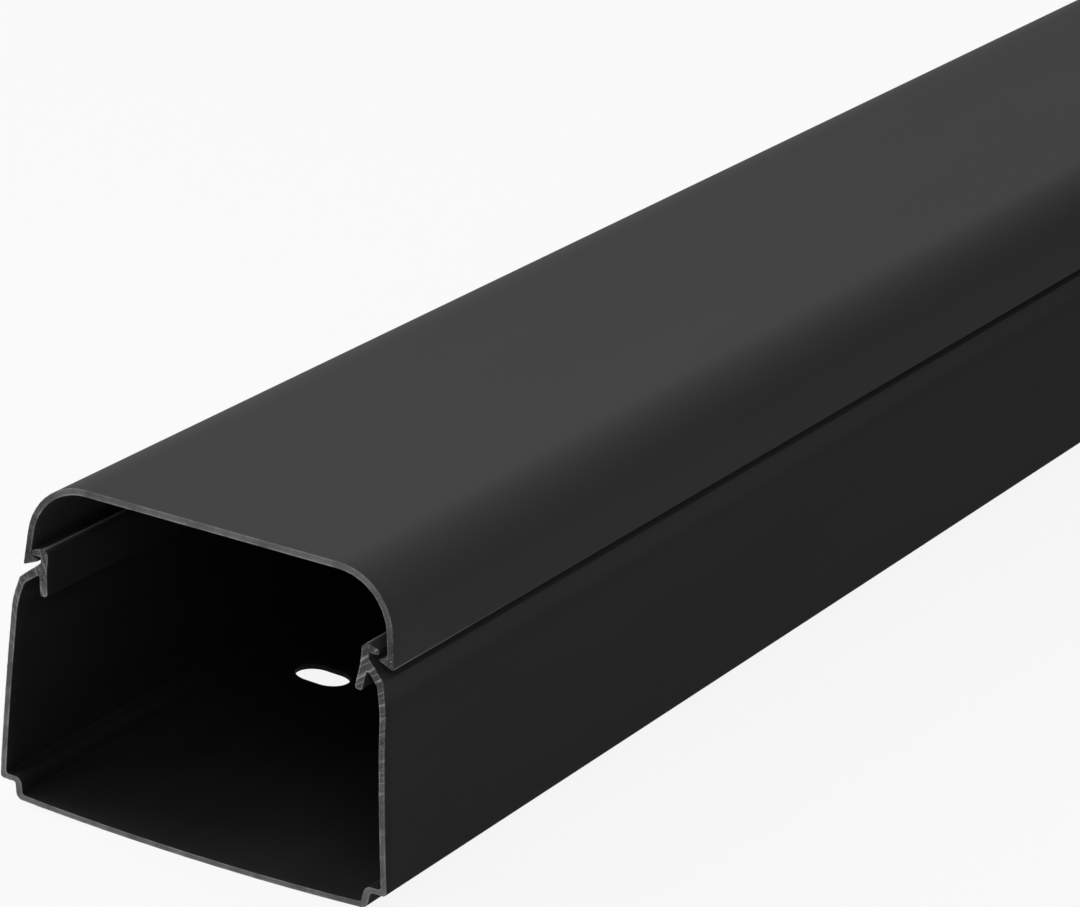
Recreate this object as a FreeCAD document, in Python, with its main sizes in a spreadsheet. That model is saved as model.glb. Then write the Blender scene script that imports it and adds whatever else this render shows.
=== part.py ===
import FreeCAD, Part
import math
import os
import re
from collections import namedtuple

import Sketcher
from FreeCAD import Vector

# A snap-together plastic cover for refrigerant lines: one straight length, lying on its wall side.
# The base is a trough that is screwed to the wall, and the lid snaps over the hooks along its walls.
# X is the width, Y the length, and Z points from the wall side to the lid.
# Both pieces are extrusions, so each is half a section, padded along Y and mirrored.

doc = FreeCAD.newDocument("line_cover")

DIMENSIONS = {
    "trunk_length": 1000.0,
    "trunk_height": 62.3,
    "base_width": 80.0,
    "base_wall": 1.2,
    # Floor sheet, which bows out in the middle, and the step that carries the side walls
    "floor_sheet": 1.0,
    "floor_bow": 1.05,
    "step_height": 4.2,
    "step_inset": 3.2,
    "step_lean": 0.5,
    # Side wall and the shoulder, which slopes in at 45 degrees; each inset is from the foot of the wall
    "bend_drop": 5.0,
    "bend_inset": 1.9,
    "shoulder_inset": 3.0,
    "shoulder_wall": 1.5,
    # Stem on the shoulder, the hook that it carries outwards and the leg that hangs inside
    "stem_inset": 6.6,
    "stem_wall": 1.5,
    "notch_height": 1.05,
    "hook_reach": 1.95,
    "hook_root": 1.7,
    "hook_nose": 0.95,
    "hook_chamfer": 0.9,
    "leg_drop": 2.5,
    "leg_lean": 0.6,
    "leg_wall": 1.55,
    # Lid: sheet, long corners, skirt and barb; the flare is the skirt's lean for each millimetre down
    "lid_depth": 16.8,
    "lid_sheet": 1.25,
    "lid_radius": 11.5,
    "skirt_flare": 0.1,
    "skirt_drop": 1.95,
    "barb_reach": 1.5,
    "barb_slope": 0.3,
    "barb_nose": 0.4,
    # Fit of the lid: room beside each hook, what is left where the lid is pushed over, room over the barb
    "snap_slack": 0.8,
    "hook_gap": 0.05,
    "latch_gap": 0.2,
    # Screw slots across the floor, in pairs
    "slot_length": 11.0,
    "slot_width": 8.0,
    "slot_inset": 16.8,
    "slot_from_end": 81.6,
    "slot_stations": 5,
    # Rounded corners; the end of a thin wall is rounded by a share of its thickness
    "foot_round": 0.8,
    "step_round": 1.5,
    "inner_round": 0.6,
    "bend_round": 20.0,
    "shoulder_round": 0.4,
    "knee_round": 1.5,
    "crotch_round": 0.35,
    "hook_round": 0.3,
    "barb_round": 1.0,
    "edge_round": 0.25,
    "end_share": 0.42,
}

# Heights, from the top down: the lid hangs on its barb, and the base is as high as the lid leaves it
SKIRT_Z = "trunk_height - lid_depth"
BARB_Z = f"{SKIRT_Z} + skirt_drop"
HOOK_Z = f"{BARB_Z} + latch_gap"
NOTCH_Z = f"{HOOK_Z} - notch_height"
SHOULDER_Z = f"{NOTCH_Z} - stem_inset + shoulder_inset"
BEND_Z = f"{SHOULDER_Z} - bend_drop"
LEG_Z = f"{SHOULDER_Z} - leg_drop"
LEDGE_Z = "step_height + floor_sheet"
UNDER_Z = "trunk_height - lid_sheet"

# Places across the base, from the foot of the wall in
FOOT_X = "base_width / 2"
STEP_X = f"{FOOT_X} - step_inset"
BEND_X = f"{FOOT_X} - bend_inset"
SHOULDER_X = f"{FOOT_X} - shoulder_inset"
STEM_X = f"{FOOT_X} - stem_inset"
STEM_INNER_X = f"{STEM_X} - stem_wall"
LEG_X = f"{STEM_INNER_X} - leg_lean"
HOOK_X = f"{STEM_X} + hook_reach"

# Places across the lid, from the hook out
BARB_X = f"{HOOK_X} + snap_slack + skirt_flare * (hook_nose + latch_gap)"
NOSE_X = f"{BARB_X} - barb_reach"
SKIRT_X = f"{BARB_X} + lid_sheet + skirt_flare * skirt_drop"
CORNER_X = f"{SKIRT_X} - skirt_flare * lid_depth"
UNDER_X = f"{BARB_X} - skirt_flare * (lid_depth - skirt_drop - lid_sheet)"

# The shoulder's inner face lies this far below its outer face
SHOULDER_DROP = "shoulder_wall * 2 ^ 0.5"

SLOT_Y = "slot_from_end - trunk_length / 2"
SLOT_MIDDLE_X = f"{FOOT_X} - slot_inset"
SLOT_HALF_STRAIGHT = "(slot_length - slot_width) / 2"

# The sketcher's numbers for the points of a line or an arc, the origin and the vertical axis
START, END, CENTRE = 1, 2, 3
ORIGIN, VERTICAL_AXIS = -1, -2

# A corner's radius may be None; a bowed edge runs on from it as an arc about the vertical axis
Corner = namedtuple("Corner", "name across up radius bowed", defaults=(None, False))
Edge = namedtuple("Edge", "geometry first last")


def make_sheet():
    sheet = doc.addObject("Spreadsheet::Sheet", "dims")
    for row, (alias, value) in enumerate(DIMENSIONS.items(), start=1):
        sheet.set(f"A{row}", alias)
        sheet.set(f"B{row}", str(value))
        sheet.setAlias(f"B{row}", alias)
    doc.recompute()


def bound(formula):
    """The formula with each word read from the sheet."""
    return re.sub(r"[a-z_]+", lambda word: f"dims.{word.group()}", formula)


def number(item, formula):
    return item.evalExpression(bound(formula))


def origin_feature(body, role):
    return next(item for item in body.Origin.OriginFeatures if item.Role == role)


def new_sketch(body, name, plane):
    sketch = body.newObject("Sketcher::SketchObject", name)
    sketch.AttachmentSupport = (origin_feature(body, plane), "")
    sketch.MapMode = "FlatFace"
    return sketch


def drive(sketch, constraint, name, formula):
    """Add a dimension that follows the sheet."""
    index = sketch.addConstraint(constraint)
    sketch.renameConstraint(index, name)
    sketch.setExpression(f"Constraints.{name}", bound(formula))


def place(sketch, geometry, point, name, across, up):
    """Dimension a point from the sketch's origin."""
    for kind, formula in (("DistanceX", across), ("DistanceY", up)):
        size = number(sketch, formula)
        constraint = Sketcher.Constraint(kind, ORIGIN, START, geometry, point, size)
        drive(sketch, constraint, f"{name}_{kind[-1].lower()}", formula)


def circle(centre, radius):
    return Part.Circle(centre, Vector(0, 0, 1), radius)


def rounding_arc(before, corner, after, radius):
    """(arc that rounds a corner, whether the outline turns left there, where the arc meets the two edges)."""
    back = (before - corner).normalize()
    ahead = (after - corner).normalize()
    half_angle = back.getAngle(ahead) / 2
    reach = radius / math.tan(half_angle)
    centre = corner + (back + ahead).normalize() * (radius / math.sin(half_angle))
    stops = (corner + back * reach, corner + ahead * reach)
    turns_left = back.cross(ahead).z < 0
    start, end = stops if turns_left else reversed(stops)
    start_angle = math.atan2(start.y - centre.y, start.x - centre.x)
    end_angle = math.atan2(end.y - centre.y, end.x - centre.x)
    if end_angle < start_angle:
        end_angle += 2 * math.pi
    return Part.ArcOfCircle(circle(centre, radius), start_angle, end_angle), turns_left, stops


def bowed_arc(low, high):
    """The arc from low, on the vertical axis, to high, with its centre above low."""
    rise = high.y - low.y
    radius = (high.x ** 2 + rise ** 2) / (2 * rise)
    turn = math.asin(high.x / radius)
    return Part.ArcOfCircle(circle(low + Vector(0, radius, 0), radius), -math.pi / 2, turn - math.pi / 2)


def draw_edge(sketch, start, end, bowed):
    if not bowed:
        return Edge(sketch.addGeometry(Part.LineSegment(start, end)), START, END)
    outwards = start.x < end.x
    arc = bowed_arc(start, end) if outwards else bowed_arc(end, start)
    geometry = sketch.addGeometry(arc)
    sketch.addConstraint(Sketcher.Constraint("PointOnObject", geometry, CENTRE, VERTICAL_AXIS))
    return Edge(geometry, START, END) if outwards else Edge(geometry, END, START)


def join_sharp(sketch, corner, before, after):
    sketch.addConstraint(
        Sketcher.Constraint("Coincident", before.geometry, before.last, after.geometry, after.first)
    )
    place(sketch, after.geometry, after.first, corner.name, corner.across, corner.up)


def join_round(sketch, corner, point, before, after, arc, turns_left):
    """Hold the two edges to the corner point, and the arc to both edges and to its radius."""
    enter, leave = (START, END) if turns_left else (END, START)
    geometry = sketch.addGeometry(arc)
    mark = sketch.addGeometry(Part.Point(point), True)
    sketch.addConstraint([
        Sketcher.Constraint("Tangent", before.geometry, before.last, geometry, enter),
        Sketcher.Constraint("Tangent", geometry, leave, after.geometry, after.first),
        Sketcher.Constraint("PointOnObject", mark, START, before.geometry),
        Sketcher.Constraint("PointOnObject", mark, START, after.geometry),
    ])
    place(sketch, mark, START, corner.name, corner.across, corner.up)
    radius = Sketcher.Constraint("Radius", geometry, arc.Radius)
    drive(sketch, radius, f"{corner.name}_radius", corner.radius)


def draw_outline(sketch, corners):
    """Draw a closed outline through the corners, counter-clockwise."""
    points = [Vector(number(sketch, corner.across), number(sketch, corner.up), 0) for corner in corners]
    stops = [(point, point) for point in points]
    rounds = {}
    for i, corner in enumerate(corners):
        if corner.radius:
            after = points[(i + 1) % len(points)]
            radius = number(sketch, corner.radius)
            arc, turns_left, stops[i] = rounding_arc(points[i - 1], points[i], after, radius)
            rounds[i] = (arc, turns_left)

    edges = []
    for i, corner in enumerate(corners):
        end = stops[(i + 1) % len(stops)][0]
        edges.append(draw_edge(sketch, stops[i][1], end, corner.bowed))

    for i, corner in enumerate(corners):
        if corner.radius:
            join_round(sketch, corner, points[i], edges[i - 1], edges[i], *rounds[i])
        else:
            join_sharp(sketch, corner, edges[i - 1], edges[i])


def base_section():
    """The right half of the trough: from the middle of the floor out, up, round the hook and back inside."""
    inner_face = f"{SHOULDER_Z} - shoulder_inset - {SHOULDER_DROP}"
    knee_z = f"{inner_face} + shoulder_inset + base_wall"
    inner_step_x = f"{STEP_X} - step_lean - base_wall"
    return [
        Corner("floor_low", "0", "0", bowed=True),
        Corner("step_low", f"{STEP_X} - step_lean", "floor_bow", "step_round"),
        Corner("step_high", STEP_X, "step_height", "inner_round"),
        Corner("wall_foot", FOOT_X, "step_height", "foot_round"),
        Corner("wall_bend", BEND_X, BEND_Z, "bend_round"),
        Corner("shoulder", SHOULDER_X, SHOULDER_Z, "shoulder_round"),
        Corner("stem_foot", STEM_X, NOTCH_Z),
        Corner("notch", STEM_X, HOOK_Z),
        Corner("hook_low", HOOK_X, HOOK_Z, "hook_nose * end_share"),
        Corner("hook_high", HOOK_X, f"{HOOK_Z} + hook_nose", "hook_nose * end_share"),
        Corner("hook_top", f"{STEM_INNER_X} + hook_chamfer", f"{HOOK_Z} + hook_root", "hook_round"),
        Corner("hook_back", STEM_INNER_X, f"{HOOK_Z} + hook_root - hook_chamfer", "hook_round"),
        Corner("leg_root", STEM_INNER_X, f"{NOTCH_Z} - stem_wall"),
        Corner("leg_inner", LEG_X, LEG_Z, "leg_wall * end_share"),
        Corner("leg_outer", f"{LEG_X} + leg_wall", LEG_Z, "leg_wall * end_share"),
        Corner("crotch", STEM_X, f"{inner_face} + stem_inset", "crotch_round"),
        Corner("knee", f"{SHOULDER_X} - base_wall", knee_z, "knee_round"),
        Corner("inner_bend", f"{BEND_X} - base_wall", BEND_Z, "bend_round - base_wall"),
        Corner("inner_foot", f"{FOOT_X} - base_wall", LEDGE_Z, "inner_round"),
        Corner("ledge", f"{STEP_X} - base_wall", LEDGE_Z, "step_round"),
        Corner("inner_step", inner_step_x, "floor_bow + floor_sheet", "inner_round", bowed=True),
        Corner("floor_high", "0", "floor_sheet"),
    ]


def lid_section():
    """The right half of the lid: from the edge of its skirt up, over to the middle and back to the barb."""
    return [
        Corner("skirt_edge", SKIRT_X, SKIRT_Z, "edge_round"),
        Corner("lid_corner", CORNER_X, "trunk_height", "lid_radius"),
        Corner("lid_middle", "0", "trunk_height"),
        Corner("under_middle", "0", UNDER_Z),
        Corner("under_corner", UNDER_X, UNDER_Z, "lid_radius - lid_sheet"),
        Corner("barb_root", BARB_X, BARB_Z, "barb_round"),
        Corner("nose_high", NOSE_X, f"{BARB_Z} - barb_slope", "barb_nose * end_share"),
        Corner("nose_low", NOSE_X, f"{BARB_Z} - barb_slope - barb_nose", "barb_nose * end_share"),
    ]


def pad_half(body, corners):
    """Pad half a section, symmetric about the middle of the length."""
    sketch = new_sketch(body, f"{body.Name}_section", "XZ_Plane")
    draw_outline(sketch, corners)
    pad = body.newObject("PartDesign::Pad", f"{body.Name}_length")
    pad.Profile = sketch
    pad.SideType = "Symmetric"
    pad.setExpression("Length", bound("trunk_length"))
    body.Tip = pad
    doc.recompute()
    return pad


def mirror_whole(body):
    mirror = body.newObject("PartDesign::Mirrored", f"{body.Name}_mirror")
    mirror.TransformMode = "Whole shape"
    mirror.MirrorPlane = (origin_feature(body, "YZ_Plane"), [""])
    body.Tip = mirror
    doc.recompute()


def draw_slot(sketch):
    """One slot with round ends, across the floor, at the first station."""
    middle = Vector(number(sketch, SLOT_MIDDLE_X), number(sketch, SLOT_Y), 0)
    radius = number(sketch, "slot_width / 2")
    along = Vector(number(sketch, SLOT_HALF_STRAIGHT), 0, 0)
    side = Vector(0, radius, 0)
    right = Part.ArcOfCircle(circle(middle + along, radius), -math.pi / 2, math.pi / 2)
    left = Part.ArcOfCircle(circle(middle - along, radius), math.pi / 2, 3 * math.pi / 2)
    far = Part.LineSegment(middle + along + side, middle - along + side)
    near = Part.LineSegment(middle - along - side, middle + along - side)
    loop = [sketch.addGeometry(item) for item in (right, far, left, near)]
    for first, second in zip(loop, loop[1:] + loop[:1]):
        sketch.addConstraint(Sketcher.Constraint("Tangent", first, END, second, START))
    drive(sketch, Sketcher.Constraint("Radius", loop[0], radius), "end_radius", "slot_width / 2")
    place(sketch, loop[0], CENTRE, "outer_end", f"{SLOT_MIDDLE_X} + {SLOT_HALF_STRAIGHT}", SLOT_Y)
    place(sketch, loop[2], CENTRE, "inner_end", f"{SLOT_MIDDLE_X} - {SLOT_HALF_STRAIGHT}", SLOT_Y)


def cut_slots(body):
    """Cut the first slot up through the floor, and repeat it to the same distance from the other end."""
    sketch = new_sketch(body, "slot_outline", "XY_Plane")
    draw_slot(sketch)
    slot = body.newObject("PartDesign::Pocket", "screw_slot")
    slot.Profile = sketch
    slot.Reversed = True
    slot.setExpression("Length", bound("floor_bow + 2 * floor_sheet"))
    body.Tip = slot
    doc.recompute()

    row = body.newObject("PartDesign::LinearPattern", "slot_row")
    row.Originals = [slot]
    row.Direction = (origin_feature(body, "Y_Axis"), [""])
    row.setExpression("Length", bound("trunk_length - 2 * slot_from_end"))
    row.setExpression("Occurrences", bound("slot_stations"))
    body.Tip = row
    doc.recompute()
    return slot, row


def make_base():
    body = doc.addObject("PartDesign::Body", "base")
    pad = pad_half(body, base_section())
    slot, row = cut_slots(body)
    one_slot = pad.Shape.Volume - slot.Shape.Volume
    all_slots = pad.Shape.Volume - row.Shape.Volume
    if one_slot <= 0 or round(all_slots / one_slot, 3) != row.Occurrences:
        raise RuntimeError("the screw slots do not cut the floor as they should")
    mirror_whole(body)
    return body


def make_lid():
    """The lid is pushed over, so that one skirt lies close to its hook and the other stands off."""
    body = doc.addObject("PartDesign::Body", "cover")
    pad_half(body, lid_section())
    mirror_whole(body)
    body.setExpression("Placement.Base.x", bound("snap_slack - hook_gap"))
    doc.recompute()
    return body


def check(bodies):
    for item in doc.Objects:
        if "Invalid" in item.State or "Error" in item.State:
            raise RuntimeError(f"{item.Name} failed: {item.State}")
    for body in bodies:
        if body.Shape.isNull() or not body.Shape.isValid() or len(body.Shape.Solids) != 1:
            raise RuntimeError(f"{body.Label} is not one valid solid")


make_sheet()
pieces = [make_base(), make_lid()]
check(pieces)
os.makedirs("parts", exist_ok=True)
for piece in pieces:
    piece.Shape.exportStep(f"parts/{piece.Label}.step")
    print(piece.Label, f"{piece.Shape.Volume / 1000:.1f} cm3", piece.Shape.BoundBox)
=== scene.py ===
import math

import bmesh
import bpy
from mathutils import Matrix, Quaternion, Vector, noise


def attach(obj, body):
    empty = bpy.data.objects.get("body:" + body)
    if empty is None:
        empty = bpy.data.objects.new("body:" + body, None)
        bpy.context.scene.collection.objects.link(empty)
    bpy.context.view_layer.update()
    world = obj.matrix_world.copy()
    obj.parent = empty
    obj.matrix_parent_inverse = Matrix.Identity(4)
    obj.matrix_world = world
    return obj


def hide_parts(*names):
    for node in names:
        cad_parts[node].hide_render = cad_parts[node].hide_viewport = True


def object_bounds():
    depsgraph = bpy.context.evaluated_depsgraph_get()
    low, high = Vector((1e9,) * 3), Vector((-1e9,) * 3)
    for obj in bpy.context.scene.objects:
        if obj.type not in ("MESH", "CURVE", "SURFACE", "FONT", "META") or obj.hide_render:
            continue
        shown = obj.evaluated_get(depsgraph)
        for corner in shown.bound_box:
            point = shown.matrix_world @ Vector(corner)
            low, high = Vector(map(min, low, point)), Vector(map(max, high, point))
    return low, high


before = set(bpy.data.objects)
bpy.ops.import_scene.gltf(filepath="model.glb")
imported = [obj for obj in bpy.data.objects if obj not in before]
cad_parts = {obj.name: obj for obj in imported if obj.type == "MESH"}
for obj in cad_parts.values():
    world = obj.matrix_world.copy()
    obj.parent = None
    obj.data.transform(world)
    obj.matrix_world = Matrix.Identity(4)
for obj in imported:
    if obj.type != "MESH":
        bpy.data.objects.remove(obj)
cad_low, cad_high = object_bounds()

# Trough: the half that is screwed to the wall. It is black rigid PVC, extruded through one die, so one
# section runs the whole length: a bowed floor between two steps, and side walls that end in a hook for
# the lid and a leg that hangs inside. The saw leaves its ends chalky, and its walls sprung to one side.

MM = 0.001

TOP = cad_high.z / MM
FRONT = cad_low.y / MM
LENGTH = (cad_high.y - cad_low.y) / MM

HALF_WIDTH = 40.0
WALL = 1.2
FLOOR = 1.0
FLOOR_BOW = 1.05
STEP_HEIGHT = 4.2
STEP_INSET = 3.2
STEP_LEAN = 0.5
BEND_DROP = 5.0
BEND_INSET = 1.9
SHOULDER_INSET = 3.0
SHOULDER_WALL = 1.5
STEM_INSET = 6.6
STEM_WALL = 1.5
NOTCH_HEIGHT = 1.05
HOOK_REACH = 1.95
HOOK_ROOT = 1.7
HOOK_NOSE = 0.95
HOOK_CHAMFER = 0.9
LEG_DROP = 2.5
LEG_LEAN = 0.6
LEG_WALL = 1.55
LID_DEPTH = 16.8
BARB_HEIGHT = 1.95
LATCH_GAP = 0.2

DIE_RADIUS = 0.15
FOOT_RADIUS = 0.8
STEP_RADIUS = 1.5
INNER_RADIUS = 0.6
BEND_RADIUS = 20.0
SHOULDER_RADIUS = 0.4
KNEE_RADIUS = 1.5
CROTCH_RADIUS = 0.35
NOSE_RADIUS = 0.4
CREST_RADIUS = 0.3
LEG_RADIUS = 0.65

UNDER_HOOK = TOP - LID_DEPTH + BARB_HEIGHT + LATCH_GAP
STEM_FOOT = UNDER_HOOK - NOTCH_HEIGHT
SHOULDER = STEM_FOOT - STEM_INSET + SHOULDER_INSET
BEND = SHOULDER - BEND_DROP
LEG_FOOT = SHOULDER - LEG_DROP
STEP_X = HALF_WIDTH - STEP_INSET
FLOOR_EDGE = STEP_X - STEP_LEAN
BEND_X = HALF_WIDTH - BEND_INSET
STEM_X = HALF_WIDTH - STEM_INSET
STEM_BACK = STEM_X - STEM_WALL
HOOK_TIP = STEM_X + HOOK_REACH
LEG_BACK = STEM_BACK - LEG_LEAN
CREST = Vector((STEM_BACK + HOOK_CHAMFER, UNDER_HOOK + HOOK_ROOT))
KNEE = Vector((HALF_WIDTH - SHOULDER_INSET, SHOULDER))


def bow(x):
    """How far the floor's underside stands off the wall, nought in the middle."""
    return FLOOR_BOW * (x / FLOOR_EDGE) ** 2


def half_trough():
    """Corners (x, z, radius) of the right half, from the middle of the floor out, up and back inside."""
    under_floor = [(x, bow(x), None) for x in (0, 6, 12, 18, 24, 30)]
    over_floor = [(x, bow(x) + FLOOR, None) for x in (29, 23, 17, 11, 5.5, 0)]
    under_shoulder = SHOULDER - SHOULDER_INSET - SHOULDER_WALL * math.sqrt(2)
    return [
        *under_floor,
        (FLOOR_EDGE, FLOOR_BOW, STEP_RADIUS),
        (STEP_X, STEP_HEIGHT, INNER_RADIUS),
        (HALF_WIDTH, STEP_HEIGHT, FOOT_RADIUS),
        (BEND_X, BEND, BEND_RADIUS),
        (KNEE.x, KNEE.y, SHOULDER_RADIUS),
        (STEM_X, STEM_FOOT, DIE_RADIUS),
        (STEM_X, UNDER_HOOK, DIE_RADIUS),
        (HOOK_TIP, UNDER_HOOK, NOSE_RADIUS),
        (HOOK_TIP, UNDER_HOOK + HOOK_NOSE, NOSE_RADIUS),
        (CREST.x, CREST.y, CREST_RADIUS),
        (STEM_BACK, UNDER_HOOK + HOOK_ROOT - HOOK_CHAMFER, CREST_RADIUS),
        (STEM_BACK, STEM_FOOT - STEM_WALL, DIE_RADIUS),
        (LEG_BACK, LEG_FOOT, LEG_RADIUS),
        (LEG_BACK + LEG_WALL, LEG_FOOT, LEG_RADIUS),
        (STEM_X, under_shoulder + STEM_INSET, CROTCH_RADIUS),
        (KNEE.x - WALL, under_shoulder + SHOULDER_INSET + WALL, KNEE_RADIUS),
        (BEND_X - WALL, BEND, BEND_RADIUS - WALL),
        (HALF_WIDTH - WALL, STEP_HEIGHT + FLOOR, INNER_RADIUS),
        (STEP_X - WALL, STEP_HEIGHT + FLOOR, STEP_RADIUS),
        (FLOOR_EDGE - WALL, FLOOR_BOW + FLOOR, INNER_RADIUS),
        *over_floor,
    ]


def round_corner(before, corner, after, radius):
    """Points along the arc that rounds one corner, one for each 8 degrees of turn."""
    back = (before - corner).normalized()
    ahead = (after - corner).normalized()
    half_angle = back.angle(ahead) / 2
    start = corner + back * (radius / math.tan(half_angle))
    centre = corner + (back + ahead).normalized() * (radius / math.sin(half_angle))
    spoke = start - centre
    turn = math.copysign(math.pi - 2 * half_angle, ahead.cross(back))
    steps = max(2, math.ceil(abs(turn) / math.radians(8)))
    return [centre + Matrix.Rotation(turn * i / steps, 2) @ spoke for i in range(steps + 1)]


def section(half, longest=0.9):
    """The closed outline of a mirrored half, counter-clockwise, with no edge longer than that."""
    corners = [(Vector((x, z)), radius) for x, z, radius in half]
    corners += [(Vector((-point.x, point.y)), radius) for point, radius in reversed(corners[1:-1])]
    rounded = []
    for i, (point, radius) in enumerate(corners):
        if radius is None:
            rounded.append(point)
        else:
            after = corners[(i + 1) % len(corners)][0]
            rounded += round_corner(corners[i - 1][0], point, after, radius)
    points = []
    for start, end in zip(rounded, rounded[1:] + rounded[:1]):
        steps = max(1, math.ceil((end - start).length / longest))
        points += [start.lerp(end, i / steps) for i in range(steps)]
    return points


def outward(points):
    """The outward direction at each point of a counter-clockwise outline."""
    found = []
    for i, point in enumerate(points):
        along = points[(i + 1) % len(points)] - points[i - 1]
        found.append(Vector((along.y, -along.x)).normalized())
    return found


RIM = 0.34
RIM_SHARE_OF_WALL = 0.3
RIM_SHARE_OF_RADIUS = 0.8
RIM_TAPER = 0.5


def rim_widths(points, normals):
    """How far the torn rim of a sawn face reaches in: less in thin walls and round tight corners."""
    found = []
    # A wall is as thick as the way to the nearest point of its other side, which faces the other way.
    for i, (point, normal) in enumerate(zip(points, normals)):
        ways = [other - point for other, facing in zip(points, normals) if facing.dot(normal) < -0.2]
        across = min((way.length for way in ways if way.dot(normal) < 0), default=4 * RIM)
        before = point - points[i - 1]
        after = points[(i + 1) % len(points)] - point
        turn = math.atan2(before.cross(after), before.dot(after))
        radius = min(before.length, after.length) / max(turn, 0.001)
        found.append(min(RIM, RIM_SHARE_OF_WALL * across, RIM_SHARE_OF_RADIUS * radius))
    for _ in range(2):
        for step in (1, -1):
            for i in range(len(points))[::step]:
                beside = (i - step) % len(points)
                gap = (points[i] - points[beside]).length
                found[i] = min(found[i], found[beside] + RIM_TAPER * gap)
    return found


SAWN_STRIPS = 3


def sawn_end(points, end, inwards):
    """Rings of (point, y, how torn) from the sawn face over its ragged rim to the skin."""
    normals = outward(points)
    widths = rim_widths(points, normals)
    face = []
    rim = []
    crest = []
    skin = []
    for point, normal, width in zip(points, normals, widths):
        ragged = noise.noise(Vector((point.x, point.y, end)) * 1.7)
        chipped = max(0.0, noise.noise(Vector((point.x, point.y, end + 9)) * 1.1) - 0.42)
        crest_inset = min(0.06 - 0.05 * ragged - 0.3 * chipped, width * 0.5)
        crest_depth = 0.04 - 0.04 * ragged
        face.append((point - normal * width, end + inwards * 0.1, 0.0))
        rim.append((point - normal * width * 0.6, end + inwards * 0.08, 1.0))
        crest.append((point - normal * crest_inset, end + inwards * crest_depth, 0.8))
        skin.append((point, end + inwards * 0.14, 0.2))
    return [face, rim, crest, skin]


SKIN = 0
SAWN = 1


def straight(point, y):
    """No sway at all, for a piece whose ends stay as the die left them."""
    return 0.0


def extrude(name, half, stations, painted_light, shift=0.0, sway=straight):
    """A mesh of the section at each station, sawn at both ends, that stays within the solid's box."""
    points = section(half)
    normals = outward(points)
    middle = Vector((0, TOP / 2))
    inner = [1.0 if normal.dot(middle - point) > 0 else 0.0 for point, normal in zip(points, normals)]
    rings = sawn_end(points, FRONT, 1)
    rings += [[(point, y, 0.0) for point in points] for y in stations]
    rings += reversed(sawn_end(points, FRONT + LENGTH, -1))

    build = bmesh.new()
    # Each point carries how torn the sawn rim is there, whether it faces into the duct, and how much painted
    # light it gets.
    layers = [build.verts.layers.float.new(layer) for layer in ("torn", "inside", "painted_light")]
    made = []
    for ring in rings:
        made.append([])
        for i, (point, y, how_torn) in enumerate(ring):
            x = min(max((point.x + shift + sway(point, y)) * MM, cad_low.x), cad_high.x)
            z = min(max(point.y * MM, cad_low.z), cad_high.z)
            vertex = build.verts.new((x, y * MM, z))
            for layer, value in zip(layers, (how_torn, inner[i], painted_light(points[i], y))):
                vertex[layer] = value
            made[-1].append(vertex)
    strips = list(zip(made, made[1:]))
    for j, (ring, following) in enumerate(strips):
        sawn = j < SAWN_STRIPS or j >= len(strips) - SAWN_STRIPS
        for i in range(len(ring)):
            face = build.faces.new((ring[i - 1], ring[i], following[i], following[i - 1]))
            face.material_index = SAWN if sawn else SKIN
            face.smooth = True
    for ring in (made[0], made[-1]):
        build.faces.new(ring).material_index = SAWN
    bmesh.ops.recalc_face_normals(build, faces=build.faces)
    mesh = bpy.data.meshes.new(name)
    build.to_mesh(mesh)
    build.free()
    piece = bpy.data.objects.new(name, mesh)
    bpy.context.scene.collection.objects.link(piece)
    return piece


SPRUNG_BY = -1.1
SPRUNG_RUN = 60
SPRUNG_RISE = 19.6
SPRUNG_CROWN = 38
RIGHT_CROWN = 30
RIGHT_LOSS = 0.03
LEG_SHARE = 0.35
LEG_SIDE = STEM_X - 0.2
WALL_SIDE = LEG_SIDE + 2.2


def sprung(point, y):
    """How far the walls spring over to one side near a sawn end. The steps and hooks stay put, and the
    legs go a third of the way."""
    foot = STEP_HEIGHT + FLOOR
    if not foot < point.y < STEM_FOOT:
        return 0.0
    from_end = min(y - FRONT, FRONT + LENGTH - y)
    rise = 1 - math.exp((foot - point.y) / SPRUNG_RISE)
    fall = 1 - max(0.0, (point.y - SPRUNG_CROWN) / (STEM_FOOT - SPRUNG_CROWN)) ** 2
    share = 1 - RIGHT_LOSS * max(0.0, point.y - RIGHT_CROWN) if point.x > 0 else 1.0
    share *= min(1.0, max(0.0, (abs(point.x) - LEG_SIDE) / (WALL_SIDE - LEG_SIDE)))
    return SPRUNG_BY * rise * fall * max(LEG_SHARE, share) * math.exp(-from_end / SPRUNG_RUN)


# How far below and above the knee, and how strongly at most, the walls under the lid are painted lighter
# over the shade of the lid's skirt.
PAINTED_LIFT_BELOW = 5.0
PAINTED_LIFT_ABOVE = 1.5
MOST_PAINTED_LIFT = 0.5


def crest_and_wall_painted_light(point, y):
    """1 on the crest of each hook, a painted highlight, and up to half on the walls under the lid, painted
    light over the skirt's shade.
    """
    place = Vector((abs(point.x), point.y))
    outer = place.x + max(place.y, KNEE.y) > KNEE.x + KNEE.y - 0.5
    reach = PAINTED_LIFT_BELOW if place.y < KNEE.y else PAINTED_LIFT_ABOVE
    painted_lift = 1 - (place - KNEE).length / reach if outer else 0.0
    return max(0.0, min(MOST_PAINTED_LIFT, painted_lift), 1 - (place - CREST).length)


def apply_modifiers(piece):
    """Put the mesh that the piece's modifiers make in the place of its own."""
    evaluated = piece.evaluated_get(bpy.context.evaluated_depsgraph_get())
    mesh = bpy.data.meshes.new_from_object(evaluated)
    piece.modifiers.clear()
    piece.data = mesh


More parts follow.
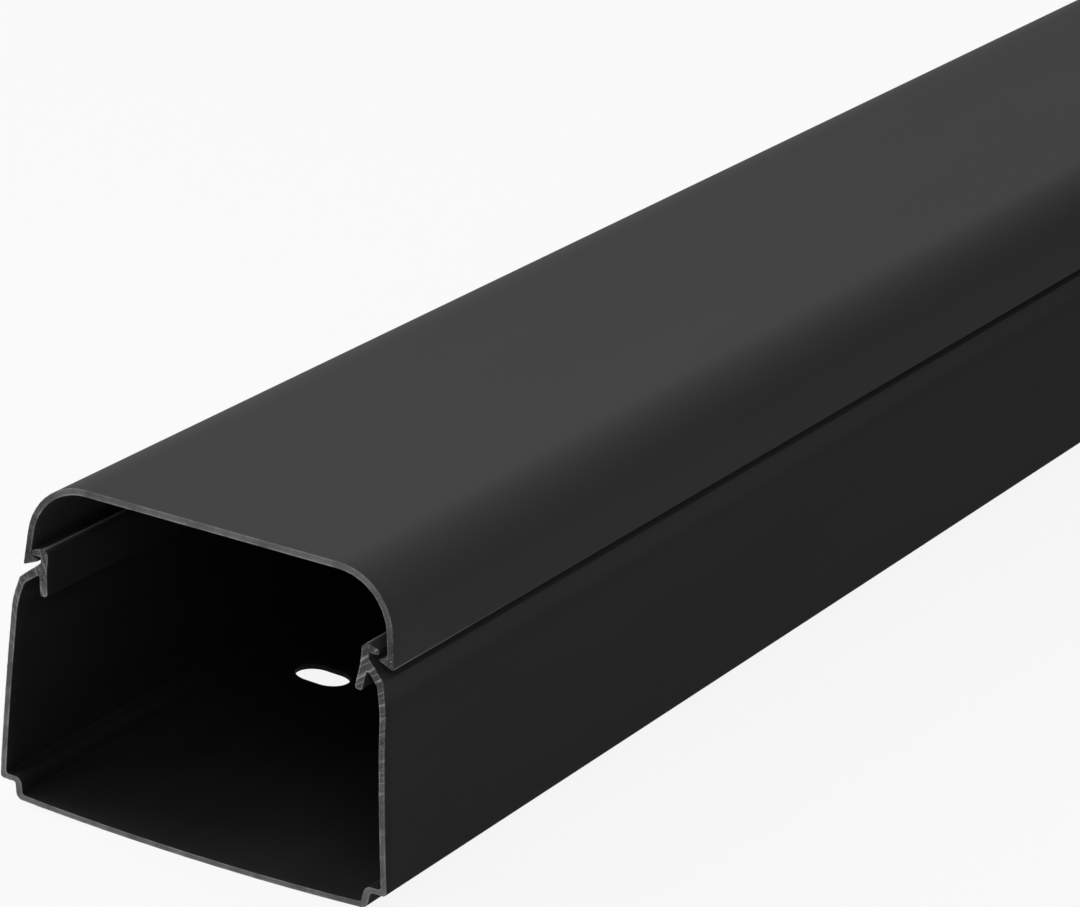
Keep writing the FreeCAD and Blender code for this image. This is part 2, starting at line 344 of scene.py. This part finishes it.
SLOT_STATIONS = (81.6, 290.8, 500.0, 709.2, 918.4)
SLOT_INSET = 16.8
SLOT_X = HALF_WIDTH - SLOT_INSET
SLOT_LENGTH = 11.0
SLOT_WIDTH = 8.0
SLOT_RIM = 0.15
RIM_POINTS = 40
PUNCH_FOOT = -1.0
PUNCH_TOP = 4.0


def punch_slots(trough):
    """Cut the screw slots, with their round ends to the sides, through the floor."""
    build = bmesh.new()
    radius = SLOT_WIDTH / 2
    flat = (SLOT_LENGTH - SLOT_WIDTH) / 2
    for station in SLOT_STATIONS:
        for side in (-1, 1):
            rim = []
            for i in range(RIM_POINTS):
                angle = math.pi * (2 * i + 1 - RIM_POINTS / 2) / RIM_POINTS
                x = side * SLOT_X + math.copysign(flat, math.cos(angle)) + math.cos(angle) * radius
                y = FRONT + station + math.sin(angle) * radius
                rim.append((x * MM, y * MM))
            low = [build.verts.new((x, y, PUNCH_FOOT * MM)) for x, y in rim]
            high = [build.verts.new((x, y, PUNCH_TOP * MM)) for x, y in rim]
            for i in range(RIM_POINTS):
                build.faces.new((low[i - 1], low[i], high[i], high[i - 1]))
            build.faces.new(low[::-1])
            build.faces.new(high)
    bmesh.ops.recalc_face_normals(build, faces=build.faces)
    mesh = bpy.data.meshes.new("slot_punches")
    build.to_mesh(mesh)
    build.free()
    punches = bpy.data.objects.new("slot_punches", mesh)
    bpy.context.scene.collection.objects.link(punches)
    cut = trough.modifiers.new("slots", "BOOLEAN")
    cut.object = punches
    cut.solver = "EXACT"
    rim = trough.modifiers.new("slot_rims", "BEVEL")
    rim.width = SLOT_RIM * MM
    rim.segments = 2
    rim.limit_method = "ANGLE"
    rim.angle_limit = math.radians(60)
    apply_modifiers(trough)
    bpy.data.objects.remove(punches)


def plain_finish(name):
    """A new material, with its node tree and its shader."""
    material = bpy.data.materials.new(name)
    material.use_nodes = True
    tree = material.node_tree
    return material, tree, tree.nodes["Principled BSDF"]


def spread(tree, value, low, high, first, last):
    """A value between low and high brought to between first and last."""
    ramp = tree.nodes.new("ShaderNodeMapRange")
    for socket, number in zip(("From Min", "From Max", "To Min", "To Max"), (low, high, first, last)):
        ramp.inputs[socket].default_value = number
    tree.links.new(value, ramp.inputs["Value"])
    return ramp.outputs["Result"]


def combine(tree, operation, *values):
    """The values added up, multiplied together, or the largest of them."""
    total = values[0]
    for value in values[1:]:
        node = tree.nodes.new("ShaderNodeMath")
        node.operation = operation
        tree.links.new(total, node.inputs[0])
        tree.links.new(value, node.inputs[1])
        total = node.outputs["Value"]
    return total


def painted(tree, name):
    """The value of one of the mesh's own layers."""
    node = tree.nodes.new("ShaderNodeAttribute")
    node.attribute_name = name
    return node.outputs["Fac"]


def moved_place(tree, scale=(1, 1, 1), offset=(0, 0, 0)):
    """The place on the piece in metres, times the scale and moved by the offset."""
    place = tree.nodes.new("ShaderNodeTexCoord").outputs["Object"]
    mapping = tree.nodes.new("ShaderNodeMapping")
    mapping.inputs["Scale"].default_value = scale
    mapping.inputs["Location"].default_value = offset
    tree.links.new(place, mapping.inputs["Vector"])
    return mapping.outputs["Vector"]


def grain(tree, across, along, detail):
    """Noise with that many spots to the metre across and along the piece."""
    texture = tree.nodes.new("ShaderNodeTexNoise")
    texture.inputs["Scale"].default_value = 1.0
    texture.inputs["Detail"].default_value = detail
    tree.links.new(moved_place(tree, (across, along, across)), texture.inputs["Vector"])
    return texture.outputs["Fac"]


def grey_finish(tree, shader, shade, height, strength, depth):
    """Give the shader one grey, and a bump from the height."""
    colour = tree.nodes.new("ShaderNodeCombineColor")
    for channel in ("Red", "Green", "Blue"):
        tree.links.new(shade, colour.inputs[channel])
    tree.links.new(colour.outputs["Color"], shader.inputs["Base Color"])
    bump = tree.nodes.new("ShaderNodeBump")
    bump.inputs["Strength"].default_value = strength
    bump.inputs["Distance"].default_value = depth
    tree.links.new(height, bump.inputs["Height"])
    tree.links.new(bump.outputs["Normal"], shader.inputs["Normal"])


def black_pvc(name, shade, uneven, painted_lift_level, painted_highlight_level):
    """Satin extruded PVC: faint lengthwise streaks from the die, painted shade inside the duct, and painted
    light on crests, skirt edges and under the lid.
    """
    material, tree, shader = plain_finish(name)
    streaks = grain(tree, across=140, along=5, detail=3.0)
    clouds = grain(tree, across=55, along=9, detail=2.0)
    inside = painted(tree, "inside")
    # The faces that look into the duct are painted darker: painted shade.
    skin = combine(tree, "MULTIPLY",
                   spread(tree, inside, 0, 1, shade, shade * 0.55),
                   spread(tree, streaks, 0.3, 0.7, 1 - uneven, 1 + uneven),
                   spread(tree, clouds, 0.3, 0.7, 1 - uneven * 0.7, 1 + uneven * 0.7))
    # Painted light: a lift on the walls under the lid, and a painted highlight on the hook crests and skirt
    # edges.
    painted_lift = spread(tree, painted(tree, "painted_light"), 0, 0.5, 0, painted_lift_level)
    painted_light = spread(tree, painted(tree, "painted_light"), 0.6, 0.85, 0, painted_highlight_level)
    lines = grain(tree, across=1500, along=4, detail=1.0)
    pores = spread(tree, grain(tree, across=2600, along=2600, detail=1.0), 0, 1, 0, 0.5)
    height = combine(tree, "ADD", lines, pores)
    shade = combine(tree, "ADD", skin, painted_lift, painted_light)
    grey_finish(tree, shader, shade, height, strength=0.25, depth=0.04 * MM)
    rough = combine(tree, "ADD",
                    spread(tree, streaks, 0, 1, 0.72, 0.84),
                    spread(tree, inside, 0, 1, 0, 0.12))
    tree.links.new(rough, shader.inputs["Roughness"])
    shader.inputs["Specular IOR Level"].default_value = 0.12
    return material


def blade_marks(tree, spacing, waver):
    """Arcs that the blade left, round a point above the lid, that many millimetres apart."""
    rings = tree.nodes.new("ShaderNodeTexWave")
    rings.wave_type = "RINGS"
    rings.rings_direction = "Y"
    rings.inputs["Scale"].default_value = 2 * math.pi / (20 * spacing * MM)
    rings.inputs["Distortion"].default_value = waver
    rings.inputs["Detail"].default_value = 1.0
    rings.inputs["Detail Scale"].default_value = 0.4
    tree.links.new(moved_place(tree, offset=(-10 * MM, 0, -75 * MM)), rings.inputs["Vector"])
    return rings.outputs["Fac"]


def sawn_pvc(name, pale_shade, dark_shade, scored, direction, smooth_at, rough_at):
    """A sawn end: chalky grey, darker from smooth_at towards rough_at along the direction, and scored and
    speckled more towards rough_at.
    """
    material, tree, shader = plain_finish(name)
    along = tree.nodes.new("ShaderNodeVectorMath")
    along.operation = "DOT_PRODUCT"
    along.inputs[1].default_value = direction
    tree.links.new(moved_place(tree), along.inputs[0])
    rough = spread(tree, along.outputs["Value"], smooth_at * MM, rough_at * MM, 0, 1)
    patches = grain(tree, across=300, along=300, detail=2.0)
    crumbs = grain(tree, across=3000, along=3000, detail=1.0)
    torn = painted(tree, "torn")

    face = combine(tree, "MULTIPLY",
                   spread(tree, rough, 0, 1, pale_shade, dark_shade),
                   spread(tree, patches, 0.3, 0.7, 0.72, 1.28),
                   spread(tree, blade_marks(tree, spacing=0.5, waver=2.0), 0, 1, 0.92, 1.08))
    coarse = combine(tree, "MAXIMUM",
                     spread(tree, blade_marks(tree, spacing=2.1, waver=9.0), 0.93, 1.0, 0, scored),
                     spread(tree, blade_marks(tree, spacing=1.3, waver=6.0), 0.9, 1.0, 0, scored * 0.5))
    marks = combine(tree, "MULTIPLY", coarse, spread(tree, patches, 0.35, 0.6, 0.2, 1), rough, rough)
    rim = combine(tree, "MULTIPLY",
                  spread(tree, torn, 0.2, 1, 0, 0.1),
                  spread(tree, painted(tree, "inside"), 0, 1, 0.5, 1),
                  spread(tree, patches, 0.35, 0.6, 0.1, 1))
    speckled = spread(tree, rough, 0, 1, 0.4, 1)
    burrs = combine(tree, "MULTIPLY", spread(tree, crumbs, 0.66, 0.76, 0, 0.22), speckled)
    pits = combine(tree, "MULTIPLY", spread(tree, crumbs, 0.38, 0.27, 0, -0.07), speckled)
    shade = combine(tree, "ADD", face, marks, rim, burrs, pits)
    shade = spread(tree, shade, 0.02, 1, 0.02, 1)
    grey_finish(tree, shader, shade, shade, strength=0.5, depth=0.4 * MM)
    shader.inputs["Roughness"].default_value = 0.75
    shader.inputs["Specular IOR Level"].default_value = 0.2
    return material


def finish_piece(piece, skin, sawn, node):
    """Give the piece its skin and its sawn ends, and put it in the place of its solid."""
    piece.data.materials.append(skin)
    piece.data.materials.append(sawn)
    piece.data.set_sharp_from_angle(angle=math.radians(40))
    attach(piece, "root")
    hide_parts(node)


end_reaches = (3, 12, 25, 40)
near_ends = [FRONT + reach for reach in end_reaches]
near_ends += [FRONT + LENGTH - reach for reach in end_reaches]
around_slots = [FRONT + station + reach for station in SLOT_STATIONS for reach in (-12, -6, 6, 12)]
between = [FRONT + LENGTH * i / 20 for i in range(1, 20)]
trough_stations = sorted({*near_ends, *around_slots, *between})
trough = extrude("trough", half_trough(), trough_stations, crest_and_wall_painted_light, sway=sprung)
punch_slots(trough)
trough_sawn = sawn_pvc("trough_sawn", pale_shade=0.155, dark_shade=0.064, scored=0.27,
                       direction=(0.15, 0, 0.99), smooth_at=2, rough_at=46)
# The trough's skin is painted darker inside, with painted light on the hook crests and on the walls under
# the lid.
trough_pvc = black_pvc("trough_pvc", shade=0.0255, uneven=0.12, painted_lift_level=0.015, painted_highlight_level=0.12)
finish_piece(trough, trough_pvc, trough_sawn, "base")

# Lid: the half that closes the trough. It is the same PVC from a second die, with large rounded corners
# and a barb inside each skirt that snaps under the hooks. It lies pushed over to one side.

LID_PUSH = 0.75
LID_SHEET = 1.25
LID_RADIUS = 11.5
SNAP_SLACK = 0.8
SKIRT_FLARE = 0.1
BARB_REACH = 1.5
BARB_SLOPE = 0.3
BARB_NOSE = 0.4
BARB_RADIUS = 1.0
BARB_NOSE_RADIUS = 0.168
EDGE_RADIUS = 0.25
UNDER_SKIRT = TOP - LID_DEPTH
BARB_X = HOOK_TIP + SNAP_SLACK + SKIRT_FLARE * (HOOK_NOSE + LATCH_GAP)
SKIRT_X = BARB_X + LID_SHEET + SKIRT_FLARE * BARB_HEIGHT


def half_lid():
    """Corners (x, z, radius) of the right half: out under the top, down to the skirt's edge, up and over."""
    barb = UNDER_SKIRT + BARB_HEIGHT
    barb_tip = BARB_X - BARB_REACH
    under = BARB_X - SKIRT_FLARE * (LID_DEPTH - BARB_HEIGHT - LID_SHEET)
    return [
        (0, TOP - LID_SHEET, None),
        (under, TOP - LID_SHEET, LID_RADIUS - LID_SHEET),
        (BARB_X, barb, BARB_RADIUS),
        (barb_tip, barb - BARB_SLOPE, BARB_NOSE_RADIUS),
        (barb_tip, barb - BARB_SLOPE - BARB_NOSE, BARB_NOSE_RADIUS),
        (SKIRT_X, UNDER_SKIRT, EDGE_RADIUS),
        (SKIRT_X - SKIRT_FLARE * LID_DEPTH, TOP, LID_RADIUS),
        (0, TOP, None),
    ]


def skirt_edge_painted_highlight(point, y):
    """A painted highlight along the lower edge of each skirt, brightest near the front end."""
    off_edge = (Vector((abs(point.x), point.y)) - Vector((SKIRT_X, UNDER_SKIRT))).length
    towards_front = math.exp((FRONT - y) / 40)
    return max(0.0, 1.25 - 1.05 * off_edge) * (0.6 + 0.4 * towards_front)


lid_stations = sorted({*near_ends, *between})
lid = extrude("lid", half_lid(), lid_stations, skirt_edge_painted_highlight, shift=LID_PUSH)
lid_sawn = sawn_pvc("lid_sawn", pale_shade=0.12, dark_shade=0.057, scored=0.05,
                    direction=(0, 0, 1), smooth_at=61, rough_at=49)
# The lid's skin is painted darker inside, with a painted highlight along its skirt edges.
lid_pvc = black_pvc("lid_pvc", shade=0.0455, uneven=0.03, painted_lift_level=0, painted_highlight_level=0.16)
finish_piece(lid, lid_pvc, lid_sawn, "cover")

# Studio: a pale floor, large soft lamps that add up to plain white on a level face, and a camera at the
# photograph's viewing angle.

PICTURE_WIDTH = 1080
FOCAL_PIXELS = 5247.0
SENSOR = 36.0
CAMERA_PLACE = (0.439814, -1.205795, 0.385883)
CAMERA_YAW = 0.490425761
CAMERA_DROP = 0.353398338
CAMERA_ROLL = 0.0773576279


def towards(around, up):
    """The direction at that angle round from +X and that angle above the floor."""
    return Vector((math.cos(around) * math.cos(up), math.sin(around) * math.cos(up), math.sin(up)))


def add_camera():
    """The camera at the photograph's viewing angle, with a lens for the photograph's width in pixels."""
    data = bpy.data.cameras.new("camera")
    camera = bpy.data.objects.new("camera", data)
    bpy.context.scene.collection.objects.link(camera)
    data.sensor_width = SENSOR
    data.lens = FOCAL_PIXELS / PICTURE_WIDTH * SENSOR
    data.clip_start = 0.01
    data.clip_end = 50
    ahead = towards(math.pi / 2 + CAMERA_YAW, -CAMERA_DROP)
    camera.location = CAMERA_PLACE
    camera.rotation_mode = "QUATERNION"
    camera.rotation_quaternion = ahead.to_track_quat("-Z", "Y") @ Quaternion((0, 0, 1), CAMERA_ROLL)
    bpy.context.scene.camera = camera


def add_floor():
    """A matt floor that the camera and the gloss see as nearly white, apart from the part's shadow."""
    mesh = bpy.data.meshes.new("floor")
    reach = 30
    corners = [(-reach, -reach, 0), (reach, -reach, 0), (reach, reach, 0), (-reach, reach, 0)]
    mesh.from_pydata(corners, [], [(0, 1, 2, 3)])
    floor = bpy.data.objects.new("floor", mesh)
    bpy.context.scene.collection.objects.link(floor)
    material = bpy.data.materials.new("pale_floor")
    material.use_nodes = True
    tree = material.node_tree
    tree.nodes.clear()
    out = tree.nodes.new("ShaderNodeOutputMaterial")
    matt = tree.nodes.new("ShaderNodeBsdfDiffuse")
    matt.inputs["Color"].default_value = (0.62, 0.62, 0.62, 1)
    glow = tree.nodes.new("ShaderNodeEmission")
    glow.inputs["Strength"].default_value = 1.0
    seen = tree.nodes.new("ShaderNodeMixShader")
    rays = tree.nodes.new("ShaderNodeLightPath")
    shown = [rays.outputs[kind] for kind in ("Is Camera Ray", "Is Glossy Ray", "Is Transmission Ray")]
    share = spread(tree, combine(tree, "MAXIMUM", *shown), 0, 1, 0, 0.9)
    tree.links.new(share, seen.inputs["Fac"])
    tree.links.new(matt.outputs[0], seen.inputs[1])
    tree.links.new(glow.outputs[0], seen.inputs[2])
    tree.links.new(seen.outputs[0], out.inputs["Surface"])
    mesh.materials.append(material)


def add_lamp(name, data, place, direction):
    """A lamp at that place, turned back from that direction towards the part."""
    lamp = bpy.data.objects.new(name, data)
    bpy.context.scene.collection.objects.link(lamp)
    lamp.location = place
    lamp.rotation_mode = "QUATERNION"
    lamp.rotation_quaternion = (-direction).to_track_quat("-Z", "Y")


def add_softbox(name, azimuth, elevation, width, level, distance):
    """A square softbox that far from the part's front end, in metres. Its level is the share of plain
    white that it gives there to a white face turned to it."""
    direction = towards(math.radians(azimuth), math.radians(elevation))
    data = bpy.data.lights.new(name, "AREA")
    data.size = width
    data.energy = level * (math.pi * distance) ** 2
    place = Vector((0, FRONT * MM, TOP / 2 * MM)) + direction * distance
    add_lamp(name, data, place, direction)


def add_far_softbox(name, azimuth, elevation, degrees, level):
    """A softbox so far off that only its width in degrees counts, with its level as above."""
    direction = towards(math.radians(azimuth), math.radians(elevation))
    data = bpy.data.lights.new(name, "SUN")
    data.angle = math.radians(degrees)
    data.energy = level * math.pi
    add_lamp(name, data, direction, direction)


def add_world(level):
    """The same faint light from all round."""
    world = bpy.data.worlds.new("studio")
    bpy.context.scene.world = world
    world.use_nodes = True
    background = world.node_tree.nodes["Background"]
    background.inputs["Color"].default_value = (1, 1, 1, 1)
    background.inputs["Strength"].default_value = level


add_camera()
add_floor()
add_softbox("front_left", azimuth=225, elevation=50, width=0.8, level=0.3, distance=1.2)
add_softbox("front_right", azimuth=300, elevation=35, width=0.8, level=0.31, distance=1.2)
add_far_softbox("back", azimuth=90, elevation=40, degrees=45, level=0.28)
add_far_softbox("left_high", azimuth=180, elevation=40, degrees=45, level=0.32)
add_far_softbox("left_low", azimuth=180, elevation=18, degrees=45, level=0.7)
add_world(level=0.03)
bpy.context.scene.view_settings.view_transform = "Standard"
